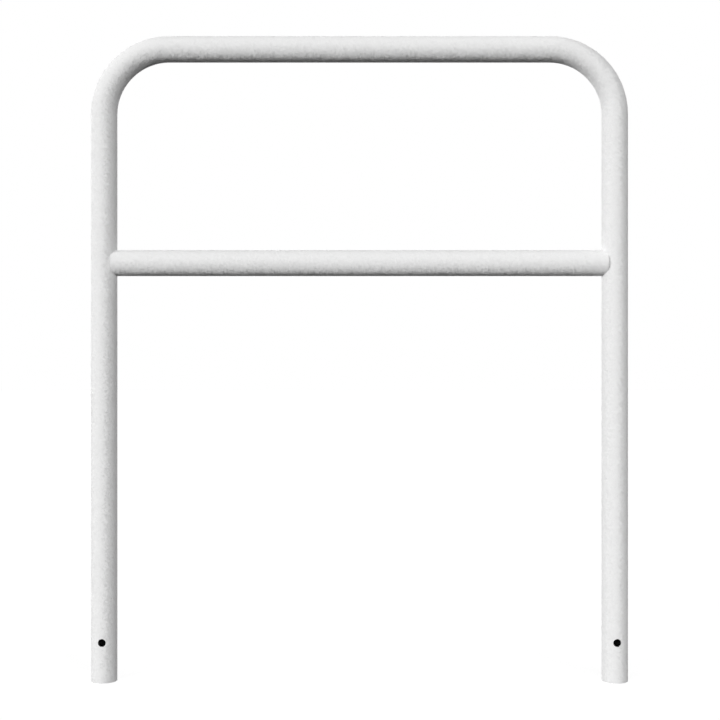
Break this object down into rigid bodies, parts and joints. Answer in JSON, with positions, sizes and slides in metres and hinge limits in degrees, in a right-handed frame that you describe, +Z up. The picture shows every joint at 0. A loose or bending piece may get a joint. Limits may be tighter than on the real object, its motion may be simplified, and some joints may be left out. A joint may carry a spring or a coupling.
{
  "type": "hoop barrier with crossbar",
  "caption": "Steel tube bent into a hoop with a crossbar between its legs, for casting into the ground as a guard rail or lean-on stand.",
  "frame": {"origin": "centre of the left leg's lower end, at the middle of the tube", "axes": "+Z up along the legs, +X level from the left leg to the right leg, -Y towards the front"},
  "size_m": [1, 0.0482, 1.2],
  "materials": {
    "galvanised_steel": "matte"
  },
  "bodies": {
    "root": {"hoop_tube": "galvanised_steel", "crossbar": "galvanised_steel", "left_weld": "galvanised_steel", "right_weld": "galvanised_steel"}
  },
  "joints": []
}
